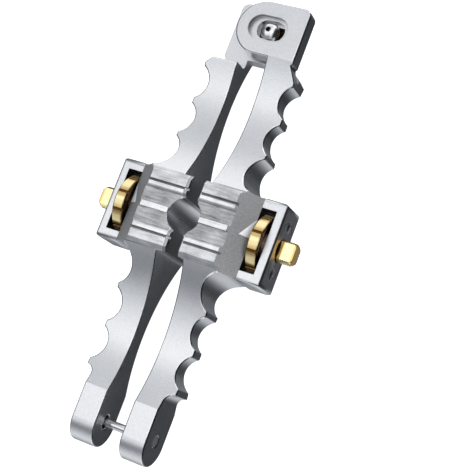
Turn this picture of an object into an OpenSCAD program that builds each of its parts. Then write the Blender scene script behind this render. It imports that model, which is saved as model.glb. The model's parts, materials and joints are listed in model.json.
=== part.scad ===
// Longitudinal cable stripper: two aluminium arms, lap-hinged at the top, with a blade on a
// threaded carrier in each centre block. X runs from the left arm to the right arm, Y along
// the tool towards the hinge, Z up through its thickness. The cable runs along Z at the origin.

/* [Arms] */
// Length of the lower half, from the cable to the end of a handle
half_len = 102.5; // [100:0.5:108]
// Thickness of the end pads and of the lap joint
pad_t = 19; // [17:0.5:20]
// Thickness at the narrowest place of a handle
waist_t = 8.6; // [8:0.1:10]
// Distance of that place from the cable
waist_y = 53; // [52:0.5:54]
// Radius of the hollow in the front and back of a handle
waist_r = 65; // [62:1:68]
// Inner face of a handle, from the middle plane
inner_x = 6.5; // [6:0.1:7]
// Tops of the ridges between the finger grooves
land_x = 21.8; // [21.5:0.1:22.5]
// Outer side of a lower end pad
pad_side_x = 17.9; // [17:0.1:18.5]
// Radius of the hollow from the last ridge to the pad
pad_hollow_r = 3.9; // [3.5:0.1:4]

/* [Finger grooves] */
// Distance between two grooves
groove_pitch = 17.2; // [17:0.1:17.6]
// Radius of a groove
groove_r = 8.2; // [8:0.1:8.4]
// Axis of the grooves, from the middle plane
groove_x = 25.7; // [25.5:0.1:26]
// Middle of the groove beside the block, from the cable
first_groove_y = 26.5; // [26:0.1:27]
// Radius of that groove
first_groove_r = 9; // [8.8:0.1:9.2]
// Axis of that groove, from the middle plane
first_groove_x = 26.2; // [26:0.1:26.5]
// Number of plain grooves on each half of a handle
groove_count = 2; // [2:1:2]
// Length of the flat on the last ridge
land_w = 2.8; // [2.4:0.1:3]

/* [Centre block] */
// Thickness of a block at its ribs
block_t = 33; // [32:0.5:34]
// Half height of a block along the tool
block_half_y = 18.5; // [18:0.1:19]
// Inner face of a block, from the middle plane
jaw_x = 3.6; // [3:0.1:4]
// The same on the left arm
left_jaw_x = 1.8; // [1.5:0.1:3]
// Half height of the raised inner face
jaw_half_y = 17; // [16:0.1:17]
// Thickness of the wheel housing
cap_t = 17.6; // [16.8:0.2:18]
// Where the slanted face begins
slant_x = 20.8; // [20:0.1:21.4]
// Where the slanted face ends and the window begins
slant_end_x = 29.2; // [29:0.1:30]
// Wall outside the wheel
cap_wall = 4; // [3.8:0.1:4.5]
// Corner radius of the housing seen from the front
cap_corner_r = 2.2; // [2:0.1:3]
// Corner radius of the housing seen from the end
cap_edge_r = 1.4; // [1:0.1:2]
// Corner radius of the housing seen from the side
cap_side_r = 2; // [1.5:0.1:3]
// Room in the window at each end of the wheel
wheel_gap = 0.7; // [0.5:0.1:1]

/* [Ribs] */
// Half width of the middle rib
rib_half_y = 1.2; // [1:0.1:1.5]
// End of the wide recesses
recess_y = 7.6; // [7.2:0.1:8]
// Width of the ramp from a recess to its ridge
ramp_w = 1.2; // [1:0.1:1.4]
// Depth of the recesses
recess_depth = 1; // [0.8:0.1:1.2]
// Axis of the narrow groove
slit_y = 10.9; // [10.7:0.1:11.2]
// Width of the narrow groove
slit_w = 1.1; // [0.8:0.1:1.2]
// Depth of the narrow groove
slit_depth = 1.2; // [1:0.1:1.4]

/* [Cable] */
// Radius of the cable channel
channel_r = 7.5; // [7:0.1:8]
// Wall between the channel and the bore of a carrier
channel_wall = 0.8; // [0.7:0.05:0.9]

/* [Lap joint] */
// Axis of the lap hinge along the tool
hinge_y = 90; // [89:0.1:90.5]
// Hinge axis, from the middle plane
hinge_x = 2.3; // [2:0.1:2.5]
// Radius of the round end of a lap plate
lap_r = 12.4; // [12:0.1:12.4]
// Straight side of the right plate, from the middle plane
lap_side = 19.3; // [19:0.1:19.6]
// The same on the left arm
tongue_side = 18.2; // [18:0.1:18.8]
// How much higher the top of the left plate is
tongue_rise = 1; // [0.5:0.1:1.2]
// Corner radius of a lap plate
lap_corner_r = 3.2; // [2.5:0.1:4]
// Space between the two lap plates
lap_space = 4; // [3.6:0.1:4.2]
// Top of the left shoulder, below the other lap plate
shoulder_y = 72.9; // [72.5:0.1:73.2]
// How much higher the right shoulder is
shoulder_step = 2.3; // [1.5:0.1:2.5]
// Chamfer on the shoulder
shoulder_chamfer = 3.1; // [2.8:0.1:3.2]
// Narrowest place of the neck, above the left shoulder
neck_rise = 3.3; // [3:0.1:3.6]
// Depth of the neck below that side
neck_dip = 0.9; // [0.7:0.1:1.1]
// Radius in the corner of the shoulder
shoulder_r = 2; // [1.5:0.1:2.4]
// Middle of the slot, from the middle plane
slot_x = 3.2; // [3:0.1:3.4]
// Travel of the hinge in the slot
slot_travel = 4; // [3.8:0.1:4.2]
// Depth of the recess round the slot
slot_rim_depth = 2.2; // [2:0.1:2.3]
// Half width of that recess
slot_rim_r = 5.8; // [5.5:0.1:6]
// Straight part of that recess
slot_rim_len = 6.8; // [6.4:0.1:7]

/* [Hinge screw] */
// Radius of its head
head_r = 4.2; // [4:0.1:4.3]
// Thickness of its head
head_t = 2.6; // [2.4:0.1:2.8]
// Top of the head below the front face
head_sink = 2.4; // [2.2:0.1:2.6]
// Rise of its dome
head_dome = 1.6; // [1.4:0.1:1.8]
// Radius of its shank
shank_r = 2; // [1.9:0.1:2.1]
// Across the flats of its socket
socket_af = 2.2; // [2:0.1:2.4]
// Side room for the head in the slot
head_gap = 0.3; // [0.2:0.05:0.4]
// Width of the slide bush
bush_w = 6.2; // [6:0.1:6.4]
// Length of the slide bush
bush_len = 7; // [6.8:0.1:7.2]
// Radius of the friction washer between the plates
friction_washer_r = 8; // [7.5:0.1:8.5]
// Across the flats of the hinge nut
nut_af = 7; // [6.8:0.1:7.2]
// Thickness of the hinge nut
nut_t = 3.2; // [3:0.1:3.4]
// Depth of the pocket for the hinge nut
nut_pocket = 3.8; // [3.6:0.1:4]

/* [Guide pin] */
// Guide pin, from the lower end of a handle
guide_end = 11.2; // [10.5:0.1:12]
// Radius of the guide pin
guide_r = 1.8; // [1.6:0.05:1.9]
// Radius of its outer end
guide_head_r = 2.3; // [2.1:0.1:2.6]
// Length of its outer end
guide_head_len = 3.4; // [3:0.1:3.6]
// How far its outer end sits below the side
guide_sink = 0.2; // [0.2:0.05:0.4]
// Tip of the guide pin, from the middle plane
guide_tip_x = 14.6; // [14:0.1:15]
// Chamfer on its tip
guide_chamfer = 0.5; // [0.4:0.05:0.6]
// Room round the pin in the other arm
guide_gap = 0.3; // [0.3:0.05:0.4]
// Extra room along the tool, for the swing
guide_swing_gap = 1; // [1:0.05:1.2]
// Radius of the screw that locks the pin
lock_r = 1.5; // [1.4:0.1:1.6]

/* [Wheel] */
// Radius of the wheel
wheel_r = 13.2; // [13:0.1:13.3]
// Width of the wheel
wheel_w = 5.2; // [5:0.1:5.4]
// Chamfer on its rim
wheel_chamfer = 0.6; // [0.4:0.1:0.8]
// Number of notches and of clicks in a turn
notch_count = 10; // [8:1:12]
// Radius of a notch
notch_r = 0.6; // [0.5:0.05:0.8]
// Turn of the first notch
notch_turn = 23; // [0:1:36]
// Thickness of the washer towards the cable
inner_washer_t = 0.6; // [0.5:0.05:0.7]
// Thickness of the washer towards the outside
outer_washer_t = 0.8; // [0.7:0.05:0.9]
// Radius of the washers
washer_r = 8; // [7.5:0.1:8.2]
// End play on each side of a washer
axial_gap = 0.05; // [0.03:0.01:0.08]

/* [Carrier] */
// Radius of the carrier
carrier_r = 5; // [4.9:0.05:5.1]
// Across its two flats
carrier_flats = 6; // [5.8:0.1:6.2]
// How far it stands out of the housing
carrier_out = 7.5; // [7:0.1:8]
// Chamfer on its outer end
carrier_chamfer = 1; // [0.8:0.1:1.2]
// Room between the carrier and the wheel thread
thread_gap = 0.08; // [0.06:0.01:0.1]
// Room between the carrier and its bore in the block
bore_gap = 0.08; // [0.06:0.01:0.1]
// Room in the outer wall
wall_gap = 0.3; // [0.2:0.05:0.35]
// Advance of the blade over its range
blade_travel = 4; // [3.5:0.1:4.2]
// Room at the end of its bore at full advance
carrier_short = 0.2; // [0.15:0.05:0.3]

/* [Blade] */
// Thickness of the blade
blade_t = 0.8; // [0.7:0.05:0.9]
// Half width of the blade
blade_half_w = 2.8; // [2.6:0.1:2.8]
// Parked tip behind the channel wall
blade_park = 0.3; // [0.25:0.05:0.4]
// Length of the blade
blade_len = 12.8; // [12.5:0.1:13]
// Length of its slanted cutting edge
blade_edge = 2.6; // [2.2:0.1:3]
// Room beside the blade in the slit of its carrier
blade_gap = 0.05; // [0.04:0.01:0.08]
// Room round the blade in the slit to the channel
blade_slit_gap = 0.1; // [0.08:0.01:0.15]
// Radius of the screw that holds the blade
blade_screw_r = 1.25; // [1.2:0.05:1.3]
// Place of that screw from the inner end of the carrier
blade_screw_x = 5; // [4.8:0.1:5.2]

/* [Detents] */
// Distance of a detent from the wheel axis
detent_y = 10.4; // [10.2:0.1:10.5]
// Radius of a detent ball
ball_r = 1.2; // [1.1:0.05:1.25]
// Depth of the dimples in the wheel
dimple_depth = 0.4; // [0.3:0.05:0.5]
// Radius of a detent screw
detent_screw_r = 2.4; // [2:0.05:2.5]
// Length of a detent screw
detent_screw_len = 1.6; // [1.5:0.05:1.7]
// Depth of that screw below the side
detent_sink = 0.25; // [0.2:0.05:0.3]
// Room round the small pieces
small_gap = 0.05; // [0.03:0.01:0.08]
// Thickness of a disc spring
disc_t = 0.2; // [0.15:0.01:0.25]

/* [Hidden] */
$fn = 72;
eps = half_len / 2000;
big = half_len * 3;
pad_half = pad_t / 2;
guide_y = half_len - guide_end;
waist_half = waist_t / 2;
block_half = block_t / 2;
cap_half = cap_t / 2;
last_groove_y = first_groove_y + groove_count * groove_pitch;
groove_chord = sqrt(pow(groove_r, 2) - pow(groove_x - land_x, 2));
last_land_y = last_groove_y + groove_chord + land_w;
wheel_x = slant_end_x + inner_washer_t + axial_gap * 2;
wheel_end_x = wheel_x + wheel_w;
window_half_y = wheel_r + wheel_gap;
window_x = wheel_end_x + outer_washer_t + axial_gap * 2;
cap_x = window_x + cap_wall;
right_shoulder_y = shoulder_y + shoulder_step;
neck_y = shoulder_y + neck_rise;
lap_half = lap_space / 2;
lap_bottom_y = hinge_y - lap_r;
lap_top_y = hinge_y + lap_r;
head_z = pad_half - head_sink;
step_z = head_z - head_t - axial_gap;
slot_r = head_r + head_gap;
dome_r = (pow(head_r, 2) + pow(head_dome, 2)) / (head_dome * 2);
bore_x = channel_r + channel_wall;
carrier_x = bore_x + carrier_short + blade_travel;
carrier_end_x = cap_x + carrier_out;
blade_x = channel_r + blade_park;
nut_z = -pad_half + nut_pocket;
detent_x = wheel_end_x + axial_gap + ball_r;
disc_x = detent_x + ball_r + small_gap;
detent_screw_x = cap_x - detent_sink - detent_screw_len;

aluminium = [0.84, 0.85, 0.87];
steel = [0.72, 0.73, 0.75];
brass = [0.83, 0.66, 0.33];
bronze = [0.66, 0.47, 0.28];

// Lays a shape drawn in Y and Z along X, from x = from to x = to.
module along_x(from, to) {
  translate([from, 0, 0]) rotate([90, 0, 90]) linear_extrude(to - from) children();
}

module rod_x(from, to, r) {
  translate([from, 0, 0]) rotate([0, 90, 0]) cylinder(h = to - from, r = r);
}

// A straight slot seen from the front, its middle at the origin.
module slot_shape(travel, r) {
  square([travel, r * 2], center = true);
  for (side = [-1, 1]) translate([side * travel / 2, 0]) circle(r);
}

// Outline of an arm from the front, without its lap plate: inner face of the block, shoulder.
module arm_outline(jaw, top) {
  difference() {
    union() {
      translate([inner_x, -half_len]) square([pad_side_x - inner_x, half_len]);
      polygon([[inner_x, -last_land_y - pad_hollow_r], [pad_side_x, -last_land_y - pad_hollow_r],
        [land_x, -last_land_y], [land_x, top - shoulder_chamfer],
        [land_x - shoulder_chamfer, top], [inner_x, top]]);
      translate([inner_x, -first_groove_y]) square([first_groove_x - inner_x, first_groove_y * 2]);
      translate([jaw, -jaw_half_y]) square([inner_x, jaw_half_y * 2]);
      translate([inner_x, -block_half_y])
        square([cap_x - cap_corner_r - inner_x, block_half_y * 2]);
      translate([slant_end_x, cap_corner_r - block_half_y])
        square([cap_x - slant_end_x, (block_half_y - cap_corner_r) * 2]);
      for (side = [-1, 1])
        translate([cap_x - cap_corner_r, side * (block_half_y - cap_corner_r)])
          circle(cap_corner_r);
    }
    for (side = [-1, 1]) {
      translate([first_groove_x, side * first_groove_y]) circle(first_groove_r);
      for (i = [1 : groove_count])
        translate([groove_x, side * (first_groove_y + i * groove_pitch)]) circle(groove_r);
    }
    translate([pad_side_x + pad_hollow_r, -last_land_y - pad_hollow_r]) circle(pad_hollow_r);
  }
}

// Side view of an arm in Y and Z, without its lap plate.
module arm_side(top) {
  difference() {
    union() {
      translate([pad_half - half_len, -pad_half])
        square([half_len - pad_half + top, pad_t]);
      translate([pad_half - half_len, 0]) circle(pad_half);
      square([waist_y * 2, block_t], center = true);
    }
    for (y = [-1, 1], z = [-1, 1])
      translate([y * waist_y, z * (waist_half + waist_r)]) circle(waist_r);
  }
}

// End view of the block in X and Z: full thickness, slanted faces, then the wheel housing.
module block_end() {
  polygon([[0, -block_half], [slant_x, -block_half], [slant_end_x, -cap_half],
    [slant_end_x, cap_half], [slant_x, block_half], [0, block_half]]);
  translate([slant_x, -cap_half]) square([cap_x - cap_edge_r - slant_x, cap_t]);
  translate([slant_x, cap_edge_r - cap_half]) square([cap_x - slant_x, cap_t - cap_edge_r * 2]);
  for (side = [-1, 1])
    translate([cap_x - cap_edge_r, side * (cap_half - cap_edge_r)]) circle(cap_edge_r);
}

// Side view that rounds the housing corners and leaves the rest of the arm whole.
module cap_side() {
  square([(block_half_y - cap_side_r) * 2, cap_t], center = true);
  square([block_half_y * 2, cap_t - cap_side_r * 2], center = true);
  for (y = [-1, 1], z = [-1, 1])
    translate([y * (block_half_y - cap_side_r), z * (cap_half - cap_side_r)]) circle(cap_side_r);
}

// Lap plate from the front: round end on the middle plane, straight side at x = side, neck.
module lap_outline(side, rise) {
  top_y = lap_top_y + rise;
  translate([0, hinge_y]) circle(lap_r);
  translate([0, lap_bottom_y]) square([side, top_y - lap_corner_r - lap_bottom_y]);
  translate([0, lap_bottom_y]) square([side - lap_corner_r, top_y - lap_bottom_y]);
  translate([side - lap_corner_r, top_y - lap_corner_r]) circle(lap_corner_r);
  polygon([[inner_x, shoulder_y - shoulder_chamfer], [land_x, shoulder_y - shoulder_chamfer],
    [land_x, neck_y], [side, neck_y + neck_dip], [side, hinge_y], [inner_x, hinge_y]]);
}

// What the neck takes from the plate and from the shoulder below it.
module neck_outline(side) {
  polygon([[land_x, shoulder_y - shoulder_chamfer], [side - neck_dip, neck_y],
    [side, neck_y + neck_dip], [land_x * 2, neck_y + neck_dip],
    [land_x * 2, shoulder_y - shoulder_chamfer]]);
}

module front_hollow() {
  translate([0, waist_y, waist_half + waist_r]) rotate([0, 90, 0])
    cylinder(h = big, r = waist_r, center = true);
}

module ribs() {
  for (z = [0, 1]) mirror([0, 0, z]) {
    for (y = [0, 1]) mirror([0, y, 0]) {
      along_x(0, slant_end_x) polygon([[rib_half_y, block_half - recess_depth],
        [recess_y, block_half - recess_depth], [recess_y + ramp_w, block_half],
        [recess_y + ramp_w, block_half + recess_depth], [rib_half_y, block_half + recess_depth]]);
      along_x(0, slant_end_x) translate([slit_y - slit_w / 2, block_half - slit_depth])
        square([slit_w, slit_depth * 2]);
    }
  }
}

// An arm as the right one; the left one is turned half a turn about Y. It is given the inner
// face of its block, its shoulder, and the straight side and rise of its plate.
module arm_body(jaw, top, side, rise) {
  difference() {
    union() {
      intersection() {
        translate([0, 0, -block_half]) linear_extrude(block_t) arm_outline(jaw, top);
        along_x(0, big) arm_side(top);
        rotate([90, 0, 0]) linear_extrude(big, center = true) block_end();
        union() {
          along_x(-eps, slant_end_x) square([big, block_t], center = true);
          along_x(slant_x, big) cap_side();
        }
      }
      difference() {
        translate([0, 0, lap_half]) linear_extrude(pad_half - lap_half)
          lap_outline(side, rise);
        front_hollow();
      }
      // rounded corner where the shoulder meets the plate
      along_x(inner_x, land_x - shoulder_chamfer) difference() {
        translate([top - eps, lap_half - shoulder_r]) square([shoulder_r, shoulder_r + eps]);
        translate([top + shoulder_r, lap_half - shoulder_r]) circle(shoulder_r);
      }
    }
    translate([0, 0, lap_half]) linear_extrude(pad_half) neck_outline(side);
    ribs();
    // cable channel
    translate([0, 0, -block_half - eps]) cylinder(h = block_t + eps * 2, r = channel_r);
    // window for the wheel
    translate([slant_end_x, -window_half_y, -block_half])
      cube([window_x - slant_end_x, window_half_y * 2, block_t]);
    // bore of the carrier, with its two flats
    intersection() {
      rod_x(bore_x, slant_end_x + eps, carrier_r + bore_gap);
      translate([0, -carrier_r * 2, -carrier_flats / 2 - bore_gap])
        cube([slant_end_x + eps, carrier_r * 4, carrier_flats + bore_gap * 2]);
    }
    // slit for the blade in the wall of the channel
    translate([0, -blade_t / 2 - blade_slit_gap, -blade_half_w - blade_slit_gap])
      cube([bore_x + eps, blade_t + blade_slit_gap * 2, (blade_half_w + blade_slit_gap) * 2]);
    rod_x(window_x - eps, cap_x + eps, carrier_r + wall_gap);
    for (side = [-1, 1]) translate([0, side * detent_y, 0]) {
      rod_x(window_x - eps, cap_x + eps, ball_r + small_gap);
      rod_x(disc_x - small_gap, cap_x + eps, detent_screw_r + small_gap);
    }
  }
}

module right_arm() {
  color(aluminium) difference() {
    arm_body(jaw_x, right_shoulder_y, lap_side, 0);
    // slot of the hinge, stepped for the screw head
    translate([hinge_x, hinge_y, pad_half - slot_rim_depth]) linear_extrude(slot_rim_depth * 2)
      slot_shape(slot_rim_len, slot_rim_r);
    translate([slot_x, hinge_y, 0]) {
      translate([0, 0, step_z]) linear_extrude(pad_half) slot_shape(slot_travel, slot_r);
      translate([-(slot_travel + bush_len) / 2 - small_gap, -bush_w / 2 - small_gap, 0])
        cube([slot_travel + bush_len + small_gap * 2, bush_w + small_gap * 2, pad_t]);
    }
    // guide pin bore and the hole of its lock screw
    translate([0, -guide_y, 0]) {
      rod_x(0, pad_side_x + eps, guide_r);
      rod_x(pad_side_x - guide_sink - guide_head_len, pad_side_x + eps, guide_head_r);
      translate([(inner_x + pad_side_x) / 2, 0, -pad_t]) cylinder(h = pad_t, r = lock_r);
    }
  }
}

module left_arm() {
  color(aluminium) rotate([0, 180, 0]) difference() {
    arm_body(left_jaw_x, shoulder_y, tongue_side, tongue_rise);
    translate([-hinge_x, hinge_y, 0]) {
      cylinder(h = pad_t, r = shank_r + small_gap);
      translate([0, 0, pad_half - nut_pocket]) linear_extrude(nut_pocket * 2)
        circle(nut_af / sqrt(3) + small_gap * 2);
    }
    translate([0, -guide_y, 0]) along_x(0, pad_side_x + eps)
      slot_shape(guide_swing_gap * 2, guide_r + guide_gap);
  }
}

module hex_hole(af, depth) {
  linear_extrude(depth) circle(af / sqrt(3), $fn = 6);
}

module hinge_screw() {
  color(steel) translate([hinge_x, hinge_y, 0]) difference() {
    union() {
      translate([0, 0, head_z - head_t]) cylinder(h = head_t, r = head_r);
      intersection() {
        translate([0, 0, head_z + head_dome - dome_r]) sphere(dome_r);
        translate([0, 0, head_z - eps]) cylinder(h = head_r, r = head_r);
      }
      translate([0, 0, nut_z - nut_t]) cylinder(h = head_z - head_t / 2 - nut_z + nut_t, r = shank_r);
    }
    translate([0, 0, head_z - head_t / 2]) hex_hole(socket_af, head_t * 2);
  }
}

module hinge_nut() {
  color(steel) translate([hinge_x, hinge_y, nut_z - nut_t]) difference() {
    linear_extrude(nut_t) circle(nut_af / sqrt(3), $fn = 6);
    translate([0, 0, -nut_t]) cylinder(h = nut_t * 3, r = shank_r);
  }
}

module friction_washer() {
  color(bronze) translate([hinge_x, hinge_y, axial_gap / 2 - lap_half]) difference() {
    cylinder(h = lap_space - axial_gap, r = friction_washer_r);
    translate([0, 0, -lap_space]) cylinder(h = lap_space * 3, r = shank_r + small_gap);
  }
}

module slide_bush() {
  color(bronze) translate([hinge_x, hinge_y, lap_half]) difference() {
    translate([-bush_len / 2, -bush_w / 2, 0]) cube([bush_len, bush_w, step_z - lap_half]);
    translate([0, 0, -lap_space]) cylinder(h = pad_t, r = shank_r + small_gap);
  }
}

module guide_pin() {
  color(steel) translate([0, -guide_y, 0]) {
    rod_x(guide_chamfer - guide_tip_x, pad_side_x - guide_sink, guide_r);
    rod_x(pad_side_x - guide_sink - guide_head_len, pad_side_x - guide_sink, guide_head_r);
    translate([-guide_tip_x, 0, 0]) rotate([0, 90, 0])
      cylinder(h = guide_chamfer, r1 = guide_r - guide_chamfer, r2 = guide_r);
  }
}

module guide_pin_lock() {
  lock_top = -guide_r;
  lock_end = -pad_half + guide_sink;
  color(steel) translate([(inner_x + pad_side_x) / 2, -guide_y, lock_end]) difference() {
    cylinder(h = lock_top - lock_end, r = lock_r);
    translate([0, 0, -lock_r]) hex_hole(lock_r, lock_r * 2);
  }
}

module right_wheel() {
  color(brass) difference() {
    translate([wheel_x, 0, 0]) rotate([0, 90, 0]) rotate_extrude() polygon([
      [carrier_r + thread_gap, 0], [wheel_r - wheel_chamfer, 0], [wheel_r, wheel_chamfer],
      [wheel_r, wheel_w - wheel_chamfer], [wheel_r - wheel_chamfer, wheel_w],
      [carrier_r + thread_gap, wheel_w]]);
    for (i = [0 : notch_count - 1]) rotate([notch_turn + i * 360 / notch_count, 0, 0]) {
      translate([0, 0, wheel_r]) rod_x(wheel_x - wheel_w, wheel_end_x + wheel_w, notch_r);
    }
    for (i = [0 : notch_count - 1]) rotate([i * 360 / notch_count, 0, 0])
      translate([wheel_end_x + ball_r - dimple_depth, detent_y, 0]) sphere(ball_r);
  }
}

module washer(x, t) {
  color(steel) difference() {
    rod_x(x, x + t, washer_r);
    rod_x(x - t, x + t * 2, carrier_r + wall_gap);
  }
}

module right_carrier() {
  color(brass) difference() {
    intersection() {
      union() {
        rod_x(carrier_x, carrier_end_x - carrier_chamfer, carrier_r);
        translate([carrier_end_x - carrier_chamfer, 0, 0]) rotate([0, 90, 0])
          cylinder(h = carrier_chamfer, r1 = carrier_r, r2 = carrier_r - carrier_chamfer);
      }
      translate([carrier_x, -carrier_r, -carrier_flats / 2])
        cube([carrier_end_x - carrier_x, carrier_r * 2, carrier_flats]);
    }
    // slit of the blade
    translate([0, -blade_t / 2 - blade_gap, -carrier_r])
      cube([blade_x + blade_len + blade_gap, blade_t + blade_gap * 2, carrier_r * 2]);
    // hole of the blade screw
    translate([carrier_x + blade_screw_x, 0, 0]) rotate([-90, 0, 0])
      cylinder(h = carrier_r * 2, r = blade_screw_r);
  }
}

module right_blade() {
  color(steel) translate([0, blade_t / 2, 0]) rotate([90, 0, 0]) linear_extrude(blade_t)
    polygon([[blade_x, -blade_half_w], [blade_x + blade_edge, blade_half_w],
      [blade_x + blade_len, blade_half_w], [blade_x + blade_len, -blade_half_w]]);
}

module right_blade_screw() {
  color(steel) translate([carrier_x + blade_screw_x, blade_t / 2, 0]) rotate([-90, 0, 0])
    difference() {
      cylinder(h = carrier_r * 0.85 - blade_t / 2, r = blade_screw_r);
      translate([0, 0, carrier_r / 2]) hex_hole(blade_screw_r, carrier_r);
    }
}

module right_detent_balls() {
  color(steel) for (side = [-1, 1]) translate([detent_x, side * detent_y, 0]) sphere(ball_r);
}

module right_detent_springs() {
  rise = detent_screw_x - disc_x - disc_t;
  color(steel) for (side = [-1, 1]) translate([disc_x, side * detent_y, 0]) rotate([0, 90, 0])
    rotate_extrude() polygon([[ball_r / 3, 0], [ball_r / 3, disc_t],
      [detent_screw_r, disc_t + rise], [detent_screw_r, rise]]);
}

module right_detent_screws() {
  color(steel) for (side = [-1, 1]) translate([detent_screw_x, side * detent_y, 0])
    rotate([0, 90, 0]) difference() {
      cylinder(h = detent_screw_len, r = detent_screw_r);
      translate([0, 0, detent_screw_len / 2]) hex_hole(detent_screw_r, detent_screw_len);
    }
}

module right_inner_washer() { washer(slant_end_x + axial_gap, inner_washer_t); }
module right_outer_washer() { washer(wheel_end_x + axial_gap, outer_washer_t); }

// The small pieces of the left arm are mirror images of the right ones.
module left_wheel() { mirror([1, 0, 0]) right_wheel(); }
module left_inner_washer() { mirror([1, 0, 0]) right_inner_washer(); }
module left_outer_washer() { mirror([1, 0, 0]) right_outer_washer(); }
module left_carrier() { mirror([1, 0, 0]) right_carrier(); }
module left_blade() { mirror([1, 0, 0]) right_blade(); }
module left_blade_screw() { mirror([1, 0, 0]) right_blade_screw(); }
module left_detent_balls() { mirror([1, 0, 0]) right_detent_balls(); }
module left_detent_springs() { mirror([1, 0, 0]) right_detent_springs(); }
module left_detent_screws() { mirror([1, 0, 0]) right_detent_screws(); }

left_arm();
right_arm();
hinge_screw();
hinge_nut();
friction_washer();
slide_bush();
guide_pin();
guide_pin_lock();
left_wheel();
right_wheel();
left_inner_washer();
right_inner_washer();
left_outer_washer();
right_outer_washer();
left_carrier();
right_carrier();
left_blade();
right_blade();
left_blade_screw();
right_blade_screw();
left_detent_balls();
right_detent_balls();
left_detent_springs();
right_detent_springs();
left_detent_screws();
right_detent_screws();
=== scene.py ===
import json
import math

import bpy
from mathutils import Matrix, Vector


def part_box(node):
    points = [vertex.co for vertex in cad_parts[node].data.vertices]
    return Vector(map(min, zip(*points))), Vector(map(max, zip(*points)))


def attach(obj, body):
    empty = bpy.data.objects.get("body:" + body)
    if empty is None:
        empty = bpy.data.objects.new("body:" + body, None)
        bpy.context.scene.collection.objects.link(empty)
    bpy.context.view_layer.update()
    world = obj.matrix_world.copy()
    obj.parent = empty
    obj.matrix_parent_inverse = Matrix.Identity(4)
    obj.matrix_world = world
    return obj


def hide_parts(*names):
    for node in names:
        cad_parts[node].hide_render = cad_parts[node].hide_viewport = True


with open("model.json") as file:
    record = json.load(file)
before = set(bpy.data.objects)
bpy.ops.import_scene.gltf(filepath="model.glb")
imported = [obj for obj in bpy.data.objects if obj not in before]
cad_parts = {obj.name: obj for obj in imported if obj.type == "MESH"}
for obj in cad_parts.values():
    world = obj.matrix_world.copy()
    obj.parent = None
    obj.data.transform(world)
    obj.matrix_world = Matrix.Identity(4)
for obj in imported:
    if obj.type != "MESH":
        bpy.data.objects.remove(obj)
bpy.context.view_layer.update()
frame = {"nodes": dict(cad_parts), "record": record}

nodes = frame["nodes"]
MM = 0.001
SIDES = ("left", "right")
SLOT_OF = {s["node"]: s["material_slot"] for s in frame["record"]["subparts"]}


# Sizes of the arms that their finish and their edges follow, in millimetres

# X runs from the left arm to the right one, Y from the cable to the hinge, Z to the front
HINGE = sum(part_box("hinge_screw"), Vector()) / 2 / MM
# Middle of the slot that the hinge slides in, and how near to it the lap plates keep their edges
SLOT_X = 3.2
SLOT_ROOM = 11
# Height of the wall of the recess round the slot, and the recess's half length and half width
RECESS_FLOOR, RECESS_TOP = 7.4, 9.35
RECESS_HALF_X, RECESS_HALF_Y = 9.5, 6.1
# Within this height lie the edges between the two lap plates
LAP_INSIDE = 3.8
# Half height of a centre block and of its raised inner face, and how far out that face stands
BLOCK_HALF = 18.4
JAW_HALF = 17.2
JAW_X = 3.65
# That face's broken edges lie nearer to the middle plane than the first and higher than the second
JAW_EDGE_X, JAW_EDGE_Z = 4.2, 14.5
# The handles begin beyond this
HANDLE_Y = 17.3
# Ends of the ribbed face, the height that it stays above, its crests, and half of its middle, where more
# shade is painted
RIBS_IN, RIBS_OUT, RIBS_Z = 4.0, 22.0, 15.0
CREST_Z = 16.2
RIBS_MIDDLE = 8
# Sides of the narrow groove across the ribs, the height just under its rim, and just above its floor
SLIT_IN, SLIT_OUT, SLIT_Z, SLIT_FLOOR = 10.35, 11.47, 16.35, 15.4
# Foot of the slanted face, and the way that it faces
SLANT_X, SLANT_Z = 20.8, 16.5
SLANT_RIGHT, SLANT_FRONT = 0.676, 0.737
# Tip, length and height of the pointer on the slanted face
POINTER_X, POINTER_LENGTH, POINTER_HEIGHT = 25.1, 4.1, 8.6
# Walls of the wheel's window, and the front of the housing round it
WINDOW_IN, WINDOW_OUT, WINDOW_HALF = 29.15, 36.05, 13.95
HOUSING_Z = 8.7
# The housing, out beyond this and within this of the cable, has its own rounded edges
HOUSING_X, HOUSING_HALF = 28.9, 19
# The oval line on the housing's side: where the side is, half its straight length, and the line's radii
OVAL_X, OVAL_STRAIGHT = 39.9, 6.1
OVAL_IN, OVAL_OUT = 5.95, 6.3
# The lower pads' round ends lie below this, and the waists' hollows between these
PAD_END_Y = -80
WAIST_IN, WAIST_OUT = 45, 61


# Sizes of the wheels, carriers and pin that their finishes follow, in millimetres

NOTCHES = 10
# First notch and half a notch's width, as shares of the way from one notch to the next
NOTCH_START, NOTCH_HALF = 0.639, 0.075
# Ends of the notches and crowns along the carrier, and the radius that each lies outside
NOTCH_IN, NOTCH_OUT, NOTCH_R = 29.8, 35.2, 12.4
CROWN_IN, CROWN_OUT, CROWN_R = 30.4, 35.4, 12.0
# A wheel's flat sides, from the carrier to just under the crowns
WHEEL_SIDE_IN, WHEEL_SIDE_OUT = 6.0, 12.85
# The part of a carrier that is handled, and its end face
HANDLED_IN, HANDLED_OUT = 42.0, 46.4
CARRIER_END = 47.3
# Radius of the hinge screw's socket, and where the guide pin's head begins
SOCKET_R = 1.15
PIN_HEAD_X = 14.5


# Shader nodes written as expressions

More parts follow.
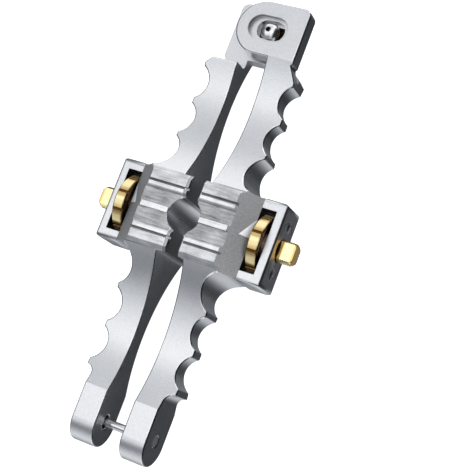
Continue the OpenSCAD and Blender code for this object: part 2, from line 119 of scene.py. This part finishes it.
class Sock:
    """A socket that takes part in Python arithmetic by adding Math nodes."""

    def __init__(self, finish, socket):
        self.finish, self.socket = finish, socket

    def math(self, operation, *values, clamp=False):
        return self.finish.math(operation, *values, clamp=clamp)

    def __add__(self, other):
        return self.math("ADD", self, other)

    def __sub__(self, other):
        return self.math("SUBTRACT", self, other)

    def __rsub__(self, other):
        return self.math("SUBTRACT", other, self)

    def __mul__(self, other):
        return self.math("MULTIPLY", self, other)

    def __truediv__(self, other):
        return self.math("DIVIDE", self, other)

    def __rtruediv__(self, other):
        return self.math("DIVIDE", other, self)

    def __pow__(self, other):
        return self.math("POWER", self, other)

    def __rpow__(self, other):
        return self.math("POWER", other, self)

    def __abs__(self):
        return self.math("ABSOLUTE", self)

    __radd__ = __add__
    __rmul__ = __mul__

    def above(self, edge, soft):
        """0 below the edge and 1 above it, over a soft step."""
        return self.math("MULTIPLY", self - (edge - soft / 2), 1 / soft, clamp=True)

    def below(self, edge, soft):
        """1 below the edge and 0 above it."""
        return 1 - self.above(edge, soft)

    def between(self, low, high, soft):
        """1 between two edges and 0 outside them."""
        return self.above(low, soft) * self.below(high, soft)

    def spread(self, amount):
        """A value of 0 to 1 as a change of that amount in all, half of it each way."""
        return (self - 0.5) * amount


class Finish:
    """A material, or the world, with its shader tree."""

    def __init__(self, name, tree=None):
        if tree is None:
            self.material = bpy.data.materials.new(name)
            self.material.use_nodes = True
            tree = self.material.node_tree
        self.tree = tree
        self.shader = next(n for n in tree.nodes if n.type in ("BSDF_PRINCIPLED", "BACKGROUND"))

    def math(self, operation, *values, clamp=False):
        return self.node("Math", {"operation": operation, "use_clamp": clamp}, dict(enumerate(values)))

    def feed(self, socket, value):
        if isinstance(value, Sock):
            self.tree.links.new(value.socket, socket)
        else:
            socket.default_value = value

    def node(self, kind, settings=None, sockets=None, out=0):
        """Any node, from its type, its settings, its sockets' values or links, and what is read of it."""
        made = self.tree.nodes.new("ShaderNode" + kind)
        for name, value in (settings or {}).items():
            if name == "stops":
                ramp = made.color_ramp.elements
                while len(ramp) < len(value):
                    ramp.new(0.5)
                for stop, (place, shade) in zip(ramp, value):
                    stop.position = place
                    stop.color = grey(shade)
            else:
                setattr(made, name, value)
        for name, value in (sockets or {}).items():
            self.feed(made.inputs[name], value)
        if isinstance(out, tuple):
            return [Sock(self, made.outputs[o]) for o in out]
        return Sock(self, made.outputs[out])

    def place(self, scale):
        """Object coordinates, stretched."""
        spot = self.node("TexCoord", out="Object")
        return self.node("Mapping", {}, {"Vector": spot, "Scale": scale})

    def axes(self):
        """The place on the piece as x, y and z in millimetres."""
        return self.node("SeparateXYZ", {}, {0: self.place((1 / MM, 1 / MM, 1 / MM))}, out=(0, 1, 2))

    def noise(self, size, detail=2.0, rough=0.5, stretch=(1, 1, 1)):
        """Noise of about 0 to 1, size in millimetres."""
        where = self.place(tuple(s / (size * MM) for s in stretch))
        sockets = {"Vector": where, "Scale": 1.0, "Detail": detail, "Roughness": rough}
        return self.node("TexNoise", {}, sockets)

    def mix(self, share, a, b):
        """Mixes two colours. The colour sockets share their names with others, so numbers pick them."""
        return self.node("Mix", {"data_type": "RGBA"}, {0: share, 6: a, 7: b}, out=2)

    def tinted(self, tone, red, green, blue):
        """A grey tone with a slight tint."""
        return self.node("CombineColor", {}, {0: tone * red, 1: tone * green, 2: tone * blue})

    def eased(self, radius):
        """The surface's direction with its edges eased, radius in millimetres."""
        return self.node("Bevel", {"samples": 6}, {"Radius": radius * MM})

    def bump(self, height, depth, below=None):
        """Height of 0 to 1 as a relief, depth in millimetres."""
        sockets = {"Height": height, "Distance": depth * MM, "Strength": 1.0}
        if below is not None:
            sockets["Normal"] = below
        return self.node("Bump", {}, sockets)

    def set(self, **sockets):
        for name, value in sockets.items():
            self.feed(self.shader.inputs[name.replace("_", " ")], value)


def grey(v):
    return (v, v, v, 1)


# Finishes

def satin_aluminium():
    """Blasted aluminium of the arms: streaked ribs, dark slanted faces with pale pointers, and painted shade
    in the rib hollows, inside the wheel's frame, on the raised inner faces and round the slot.
    """
    f = Finish("satin_aluminium")
    right, y, front = f.axes()
    x, away, z = abs(right), abs(y), abs(front)

    off_slant = abs((x - SLANT_X) * SLANT_RIGHT + (z - SLANT_Z) * SLANT_FRONT)
    slant = off_slant.below(0.15, 0.15) * x.between(SLANT_X + 0.05, WINDOW_IN, 0.1)
    slant = slant * away.below(BLOCK_HALF, 0.3)
    upper_edge = (x - POINTER_X) / POINTER_LENGTH * POINTER_HEIGHT
    pointer = slant * y.above(-0.15, 0.2) * (upper_edge - y).above(0, 0.25)
    # Painted shade: inside the wheel's window the arm is darkened as if unlit
    window_shade = x.between(WINDOW_IN, WINDOW_OUT, 0.1) * away.below(WINDOW_HALF, 0.1) * z.below(HOUSING_Z, 0.1)
    # Painted shade on the raised inner faces, which lie in the gap between the arms
    jaw_shade = x.below(JAW_X, 0.05) * away.below(JAW_HALF, 0.2)
    # Painted shade on the wall of the recess round the slot
    recess_shade = front.between(RECESS_FLOOR, RECESS_TOP, 0.1) * abs(y - HINGE.y).below(RECESS_HALF_Y, 0.2)
    recess_shade = recess_shade * abs(right - HINGE.x).below(RECESS_HALF_X, 0.2)
    past_straight = f.math("MAXIMUM", away - OVAL_STRAIGHT, 0.0)
    oval = ((past_straight ** 2 + z ** 2) ** 0.5).between(OVAL_IN, OVAL_OUT, 0.12) * x.above(OVAL_X, 0.1)
    ribs = x.between(RIBS_IN, RIBS_OUT, 0.3) * z.above(RIBS_Z, 0.2) * (1 - slant)
    crest = z.above(CREST_Z, 0.1) * away.below(SLIT_IN, 0.1)
    slit_shade = away.between(SLIT_IN, SLIT_OUT, 0.06) * z.below(SLIT_Z, 0.1)
    middle = away.below(RIBS_MIDDLE, 2)

    grain = f.noise(0.3, 3.0, 0.7)
    speckle = f.noise(0.7, 2.0, 0.6)
    cloud = f.noise(9.0, 2.0, 0.5)
    streak = f.noise(0.5, 2.0, 0.6, (1, 0.04, 1))
    drawn = f.noise(0.8, 3.0, 0.6, (0.1, 1, 0.3))

    tone = 0.84 + grain.spread(0.10) + speckle.spread(0.24) + cloud.spread(0.05) + streak.spread(0.06)
    # Painted shade in the rib hollows, deeper in the middle, with the crests a little lighter
    rib_shade = (1 - crest) * (0.17 + middle * 0.24) - crest * 0.06
    tone = tone - ribs * (rib_shade - drawn.spread(0.7) - cloud.spread(0.7))
    # Painted shade in the narrow groove across the ribs
    tone = tone * (1 - ribs * slit_shade * 0.75)
    matt = 0.275 + grain.spread(0.11) + speckle.spread(0.22) + cloud.spread(0.04)
    tone = tone * (1 - slant) + matt * slant + pointer * 0.68
    # Painted shade: darker inside the wheel's window, on the raised inner faces and on the wall of the
    # recess round the slot
    tone = tone * (1 - window_shade * 0.85) * (1 - oval * 0.8) * (1 - jaw_shade * 0.5) * (1 - recess_shade * 0.65)
    polished = f.node("Attribute", {"attribute_name": "polished"}, out="Fac")
    rough = (0.34 + cloud.spread(0.06) + streak.spread(0.08)) * (1 - polished * 0.6) + slant * 0.35
    f.set(Base_Color=f.tinted(tone, 0.985, 0.995, 1.02), Metallic=1 - slant * 0.9, Roughness=rough,
          Normal=f.bump(grain, 0.015, f.eased(0.35)))
    return f.material


DEEP_BRASS, WARM_BRASS = (0.72, 0.44, 0.13, 1), (0.86, 0.58, 0.22, 1)
# Bright brass of the painted highlight on the crowns, and of the carriers where they are handled
BRIGHT_BRASS = (1.0, 0.84, 0.46, 1)
# Brown of the painted shade in the notches
NOTCH_SHADE_BROWN = (0.12, 0.05, 0.02, 1)
# Brown of the painted shadow on the wheels' flat sides
SIDE_SHADE_BROWN = (0.16, 0.07, 0.02, 1)
END_BROWN = (0.25, 0.18, 0.07, 1)


def polished_brass():
    """Brass of the wheels and carriers: painted highlight on the crowns, bright on the carriers where they
    are held, and painted shade as brown in the notches and on the flat sides.
    """
    f = Finish("polished_brass")
    right, y, z = f.axes()
    x = abs(right)
    out = (y ** 2 + z ** 2) ** 0.5

    # Painted shadow: the wheel's flat sides lie in the window's shadow and are darkened brown
    side = out.between(WHEEL_SIDE_IN, WHEEL_SIDE_OUT, 0.12)
    end = x.above(CARRIER_END, 0.15)
    around = f.math("FRACT", f.math("ARCTAN2", y, z) * (NOTCHES / math.tau) + NOTCH_START)
    crown = around.between(0.2, 0.8, 0.3) * x.between(CROWN_IN, CROWN_OUT, 1.0)
    # Painted highlight on the middle of each crown; the carriers are also brighter where they are handled
    crown_highlight_and_handled = crown * out.above(CROWN_R, 0.2) + x.between(HANDLED_IN, HANDLED_OUT, 0.8)
    # Painted shade: the notches between the crowns are darkened brown
    notch_shade = (1 - around.between(NOTCH_HALF, 1 - NOTCH_HALF, 0.03)) * out.above(NOTCH_R, 0.1)
    notch_shade = notch_shade * x.between(NOTCH_IN, NOTCH_OUT, 0.1)

    cloud = f.noise(4.0, 2.0, 0.5)
    lines = f.noise(0.25, 2.0, 0.6, (1, 0.1, 0.1))
    colour = f.mix(cloud, DEEP_BRASS, WARM_BRASS)
    colour = f.mix(crown_highlight_and_handled, colour, BRIGHT_BRASS)
    colour = f.mix(notch_shade, colour, NOTCH_SHADE_BROWN)
    colour = f.mix(side, colour, SIDE_SHADE_BROWN)
    colour = f.mix(end, colour, END_BROWN)
    rough = 0.12 + lines.spread(0.08) + cloud.spread(0.05) + side * 0.12 + end * 0.35
    metal = (1 - end * 0.7) * (1 - crown * out.above(WHEEL_SIDE_OUT + 0.05, 0.1) * 0.45)
    f.set(Base_Color=colour, Metallic=metal, Roughness=rough, Normal=f.bump(lines, 0.004, f.eased(0.2)))
    return f.material


def worked_lines(f):
    """Fine lines along X that working leaves on steel."""
    return f.noise(0.3, 2.0, 0.6, (0.15, 1, 1))


def worked_steel(name, tone, rough, dark=None):
    """Turned or ground steel; dark says where shade is painted on it in black, as a function of the axes."""
    f = Finish(name)
    lines = worked_lines(f)
    shade, rough = tone + lines.spread(0.06), rough + lines.spread(0.06)
    if dark:
        # Painted shade: where dark picks out, the steel is made near black
        black = dark(*f.axes())
        shade, rough = shade * (1 - black * 0.97), rough + black * 0.3
    f.set(Base_Color=f.tinted(shade, 1, 1, 1.02), Metallic=1.0, Roughness=rough, Normal=f.bump(lines, 0.003))
    return f.material


def socket_painted_shade(x, y, z):
    """Inside of the hinge screw's socket, where shade is painted black."""
    from_screw = ((x - HINGE.x) ** 2 + (y - HINGE.y) ** 2) ** 0.5
    return from_screw.below(SOCKET_R, 0.1) * z.above(0, 1)


def guide_pin_steel():
    """Bright steel of the guide pin, dark and matt on its head."""
    f = Finish("guide_pin_steel")
    head = f.axes()[0].above(PIN_HEAD_X, 0.2)
    lines = worked_lines(f)
    shade = 0.78 + lines.spread(0.06) - head * 0.69
    f.set(Base_Color=f.tinted(shade, 1, 1, 1.02), Metallic=1 - head * 0.8,
          Roughness=0.12 + lines.spread(0.05) + head * 0.4, Normal=f.bump(lines, 0.003))
    return f.material


def shade_dark_bronze():
    """Bronze of the friction washer and the slide bush, painted near black as the shade of the gaps they sit
    in, clouded at random.
    """
    f = Finish("shade_dark_bronze")
    cloud = f.noise(2.0, 3.0, 0.6)
    # Painted shade: the bronze is made near black
    f.set(Base_Color=f.mix(cloud, (0.05, 0.035, 0.02, 1), (0.09, 0.06, 0.03, 1)), Metallic=1.0,
          Roughness=0.3 + cloud * 0.1, Normal=f.bump(cloud, 0.004))
    return f.material


aluminium = satin_aluminium()
brass = polished_brass()
dull_steel = worked_steel("dull_screw_steel", 0.45, 0.42)
FINISH_OF_SLOT = {
    "arm": aluminium,
    "brass": brass,
    "steel": worked_steel("polished_steel", 0.78, 0.14),
    "blade": worked_steel("ground_blade_steel", 0.62, 0.24),
    "bronze": shade_dark_bronze(),
}
FINISH_OF_NODE = {
    "hinge_screw": worked_steel("domed_screw_steel", 0.97, 0.2, socket_painted_shade),
    "guide_pin": guide_pin_steel(),
    "left_detent_screws": dull_steel,
    "right_detent_screws": dull_steel,
}


def dress(piece, material):
    piece.data.materials.clear()
    piece.data.materials.append(material)


# Copies of the CAD pieces, and what they stand for

# Vertices nearer than this are one, in millimetres, and faces flatter than this are merged
SAME_PLACE = 0.002
SAME_PLANE = math.radians(0.3)


def only(piece):
    bpy.ops.object.select_all(action="DESELECT")
    piece.select_set(True)
    bpy.context.view_layer.objects.active = piece


def select_none(mesh):
    for part in (mesh.vertices, mesh.edges, mesh.polygons):
        part.foreach_set("select", [False] * len(part))


def copy_of(node, name):
    """A merged copy of a CAD node's mesh, its flat faces whole again."""
    mesh = nodes[node].data.copy()
    mesh.name = name
    piece = bpy.data.objects.new(name, mesh)
    bpy.context.scene.collection.objects.link(piece)
    only(piece)
    bpy.ops.object.mode_set(mode="EDIT")
    bpy.ops.mesh.select_mode(type="VERT")
    bpy.ops.mesh.select_all(action="SELECT")
    bpy.ops.mesh.remove_doubles(threshold=SAME_PLACE * MM)
    bpy.ops.mesh.dissolve_limited(angle_limit=SAME_PLANE)
    bpy.ops.object.mode_set(mode="OBJECT")
    return piece


def stand_for(piece, node, material):
    """Puts the finished piece in the CAD node's place, on the body of the same name."""
    dress(piece, material)
    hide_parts(node)
    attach(piece, node)


# Arms with broken edges

# An edge is broken if its faces turn by more than the first, and shades smooth up to the second
SHARP_TURN = math.radians(28)
SMOOTH_TURN = math.radians(32)


def sharp(a, b):
    return a.normal.angle(b.normal, 0) > SHARP_TURN


def is_front(a, b):
    """One of the two faces looks to the front or the back."""
    return max(abs(a.normal.z), abs(b.normal.z)) > 0.8


def pad_end_edges(a, b, at):
    """Side edges of the round ends of the lower pads."""
    least, most = sorted((abs(a.normal.x), abs(b.normal.x)))
    return sharp(a, b) and at.y < PAD_END_Y and most > 0.9 and least < 0.3


def outline_edges(a, b, at):
    """Edges of the handles, pads and plates where their fronts and backs end, and the pads' round ends."""
    beside_slot = at.y > 0 and math.hypot(at.x - SLOT_X, at.y - HINGE.y) < SLOT_ROOM
    on_housing = abs(at.x) > HOUSING_X and abs(at.y) < HOUSING_HALF
    inside_lap = abs(at.z) < LAP_INSIDE
    kept = beside_slot or on_housing or inside_lap or abs(at.y) <= HANDLE_Y
    return pad_end_edges(a, b, at) or (sharp(a, b) and is_front(a, b) and not kept)


def jaw_edges(a, b, at):
    """Front and back edges of the raised inner faces, except across the narrow grooves."""
    in_slit = SLIT_IN - 0.15 < abs(at.y) < SLIT_OUT + 0.15 and abs(at.z) < SLIT_FLOOR
    on_jaw = abs(at.x) < JAW_EDGE_X and abs(at.y) < HANDLE_Y and abs(at.z) > JAW_EDGE_Z
    inner = max(abs(a.normal.x), abs(b.normal.x)) > 0.9
    return sharp(a, b) and is_front(a, b) and inner and on_jaw and not in_slit


# Width in millimetres, number of segments, and which edges
BROKEN_EDGES = [(0.7, 4, outline_edges), (0.7, 3, jaw_edges)]


def select_edges(mesh, test):
    """Selects the edges that pass the test, which gets their two faces and their middle in millimetres."""
    bpy.context.tool_settings.mesh_select_mode = (False, True, False)
    select_none(mesh)
    sides = {}
    for face in mesh.polygons:
        for key in face.edge_keys:
            sides.setdefault(key, []).append(face)
    for edge in mesh.edges:
        faces = sides.get(edge.key, [])
        if len(faces) == 2:
            start, end = (mesh.vertices[v].co for v in edge.vertices)
            edge.select = test(*faces, (start + end) / 2 / MM)


def is_flat(face):
    """True for the large plane faces, which keep one shade over to their edges."""
    slanted = abs(abs(face.normal.x) - SLANT_RIGHT) < 0.01 and abs(abs(face.normal.z) - SLANT_FRONT) < 0.01
    in_waist = WAIST_IN < abs(face.center.y) / MM < WAIST_OUT
    square = max(abs(c) for c in face.normal) > 0.99999 and not in_waist
    return (slanted or square) and face.area > 4 * MM * MM


def rounded_grip(side):
    """An arm with its edges broken, and polished where they are."""
    piece = copy_of(f"{side}_arm", f"{side}_grip")
    mesh = piece.data
    mesh.attributes.new("polished", "FLOAT", "FACE")
    for width, segments, test in BROKEN_EDGES:
        select_edges(mesh, test)
        bpy.ops.object.mode_set(mode="EDIT")
        bpy.ops.mesh.bevel(offset=width * MM, offset_type="OFFSET", segments=segments,
                           profile=0.5, affect="EDGES", clamp_overlap=False, loop_slide=False)
        bpy.ops.object.mode_set(mode="OBJECT")
        polished = mesh.attributes["polished"].data
        for face in mesh.polygons:
            if face.select:
                polished[face.index].value = 1.0
    bpy.ops.object.shade_smooth_by_angle(angle=SMOOTH_TURN)
    for face in mesh.polygons:
        if is_flat(face):
            face.use_smooth = False
    weigh = piece.modifiers.new("normals", "WEIGHTED_NORMAL")
    weigh.weight = 50
    weigh.keep_sharp = True
    bpy.ops.object.modifier_apply(modifier="normals")
    stand_for(piece, f"{side}_arm", aluminium)


for side in SIDES:
    rounded_grip(side)


# Carriers with their threads

THREAD_START, THREAD_PITCH, THREAD_TURNS = 22.0, 1.0, 25
# Beyond this the sides are round, and a root keeps this share of the width
ROUND_SIDE_Y = 3.9
ROOT_SHARE = 0.9
# The thread's flanks turn by more than this and stay sharp
FLANK_TURN = math.radians(20)


def threaded_carrier(side):
    """A blade carrier with its thread cut: rings pressed in across the round sides, the flats left flat."""
    piece = copy_of(f"{side}_carrier", f"{side}_threaded_carrier")
    mesh = piece.data
    outwards = 1 if side == "right" else -1
    rings = [outwards * (THREAD_START + THREAD_PITCH / 2 * step) for step in range(2 * THREAD_TURNS)]
    roots = rings[1::2]
    bpy.ops.object.mode_set(mode="EDIT")
    for ring in rings:
        bpy.ops.mesh.select_all(action="SELECT")
        bpy.ops.mesh.bisect(plane_co=(ring * MM, 0, 0), plane_no=(1, 0, 0))
    bpy.ops.object.mode_set(mode="OBJECT")
    bpy.context.tool_settings.mesh_select_mode = (True, False, False)
    select_none(mesh)
    for vertex in mesh.vertices:
        at = vertex.co / MM
        at_root = min(abs(at.x - root) for root in roots) < 0.01
        vertex.select = at_root and abs(at.y) > ROUND_SIDE_Y
    bpy.ops.object.mode_set(mode="EDIT")
    bpy.ops.transform.resize(value=(1, ROOT_SHARE, 1), center_override=(0, 0, 0))
    bpy.ops.object.mode_set(mode="OBJECT")
    bpy.ops.object.shade_smooth_by_angle(angle=FLANK_TURN)
    stand_for(piece, f"{side}_carrier", brass)


for side in SIDES:
    threaded_carrier(side)
for name, node in nodes.items():
    dress(node, FINISH_OF_NODE.get(name, FINISH_OF_SLOT[SLOT_OF[name]]))


# Stage

pale = Finish("pale_floor")
pale.set(Base_Color=grey(0.9), Roughness=0.7, Emission_Color=grey(1.0), Emission_Strength=0.95)


def staged(piece, name, unseen_by):
    """Finishes what the tool stands on or before, and hides it from the rays named."""
    piece.name = name
    for rays in unseen_by:
        setattr(piece, "visible_" + rays, False)
    dress(piece, pale.material)


bpy.ops.object.select_all(action="DESELECT")
bpy.ops.mesh.primitive_plane_add(size=6, location=(0, 0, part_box("left_arm")[0].z))
staged(bpy.context.object, "floor", ["glossy"])
bpy.ops.mesh.primitive_uv_sphere_add(segments=48, ring_count=24, radius=2.8)
staged(bpy.context.object, "backdrop", ["glossy", "diffuse", "shadow", "transmission"])


# Light

# Brightness of the panels by their tilt: 0.25 is past the tool's lower end, 0.5 before it, 0.75 past its top
PANELS = [(0.22, 0.85), (0.27, 0.66), (0.32, 0.40), (0.345, 0.22), (0.385, 0.16), (0.42, 0.40),
          (0.46, 0.74), (0.494, 0.72), (0.506, 1.22), (0.532, 1.22), (0.545, 0.62), (0.58, 0.72),
          (0.61, 0.60), (0.635, 0.64), (0.66, 1.00), (0.70, 1.15), (0.75, 1.15), (0.83, 0.4)]
# Brightness of the ground behind the tool, from its right to its left
GROUND = [(0.29, 0.020), (0.345, 0.026), (0.385, 0.14), (0.42, 0.5), (0.47, 0.62), (0.55, 0.45),
          (0.62, 0.5), (0.70, 0.1)]


def studio():
    """A light tent: panels across the tool, black flags at its sides, and a pale ground behind it."""
    world = bpy.data.worlds.new("studio")
    world.use_nodes = True
    bpy.context.scene.world = world
    f = Finish("studio", world.node_tree)
    x, y, z = f.node("SeparateXYZ", {}, {0: f.node("TexCoord", out="Generated")}, out=(0, 1, 2))

    tilt = f.math("ARCTAN2", y, z) / math.tau + 0.5
    side_glow = x.between(0.05, 0.34, 0.16) * 0.35
    right_flag = x.above(0.4, 0.12) * 0.985
    left_flag = x.below(-0.72, 0.2) * 0.85
    panels = f.node("ValToRGB", {"stops": PANELS}, {0: tilt}) + side_glow
    panels = panels * (1 - right_flag) * (1 - left_flag)

    upper_shade = y.above(0.29, 0.1) * x.below(0.33, 0.08) * 0.8
    lower_glow = y.below(-0.35, 0.3) * x.below(0.75, 0.2) * 0.25
    ground = f.node("ValToRGB", {"stops": GROUND}, {0: x * -0.5 + 0.5})
    ground = ground * (1 - upper_shade) + lower_glow
    ground = ground * (0.9 + f.math("MAXIMUM", y, 0.0) * 1.6)

    behind = z.below(-0.5, 0.3)
    level = panels * (1 - behind) + ground * behind
    cool = 1 - f.math("MINIMUM", level, 1.0)
    tint = f.node("CombineColor", {}, {0: 1 - cool * 0.08, 1: 1.0, 2: 1 + cool * 0.1})
    f.set(Color=tint, Strength=level)


studio()


def softbox(name, place, width, watts):
    """A square light aimed at the middle of the tool."""
    lamp = bpy.data.lights.new(name, "AREA")
    lamp.size = width
    lamp.energy = watts
    made = bpy.data.objects.new(name, lamp)
    bpy.context.scene.collection.objects.link(made)
    made.location = place
    made.rotation_euler = (-Vector(place)).to_track_quat("-Z", "Y").to_euler()
    return made


softbox("key_light", (-0.35, -0.15, 0.8), 0.6, 0.3)
softbox("side_fill", (0.7, 0.1, 0.55), 0.5, 4.8).visible_glossy = False


# Camera

# The picture's right and up, the way from the tool to the camera, and its place in millimetres
RIGHT = Vector((0.879733, 0.350072, -0.321746))
UP = Vector((-0.271717, 0.925460, 0.263994))
BACK = Vector((0.390180, -0.144820, 0.909278))
CAMERA_AT = Vector((214.961, -72.089, 458.358))

lens = bpy.data.cameras.new("camera")
lens.sensor_width = 36
lens.lens = 91.312
lens.clip_start = 0.02
lens.clip_end = 20
camera = bpy.data.objects.new("camera", lens)
bpy.context.scene.collection.objects.link(camera)
turn = Matrix((RIGHT, UP, BACK)).transposed().to_4x4()
camera.matrix_world = Matrix.Translation(CAMERA_AT * MM) @ turn
bpy.context.scene.camera = camera
bpy.context.scene.view_settings.view_transform = "Standard"
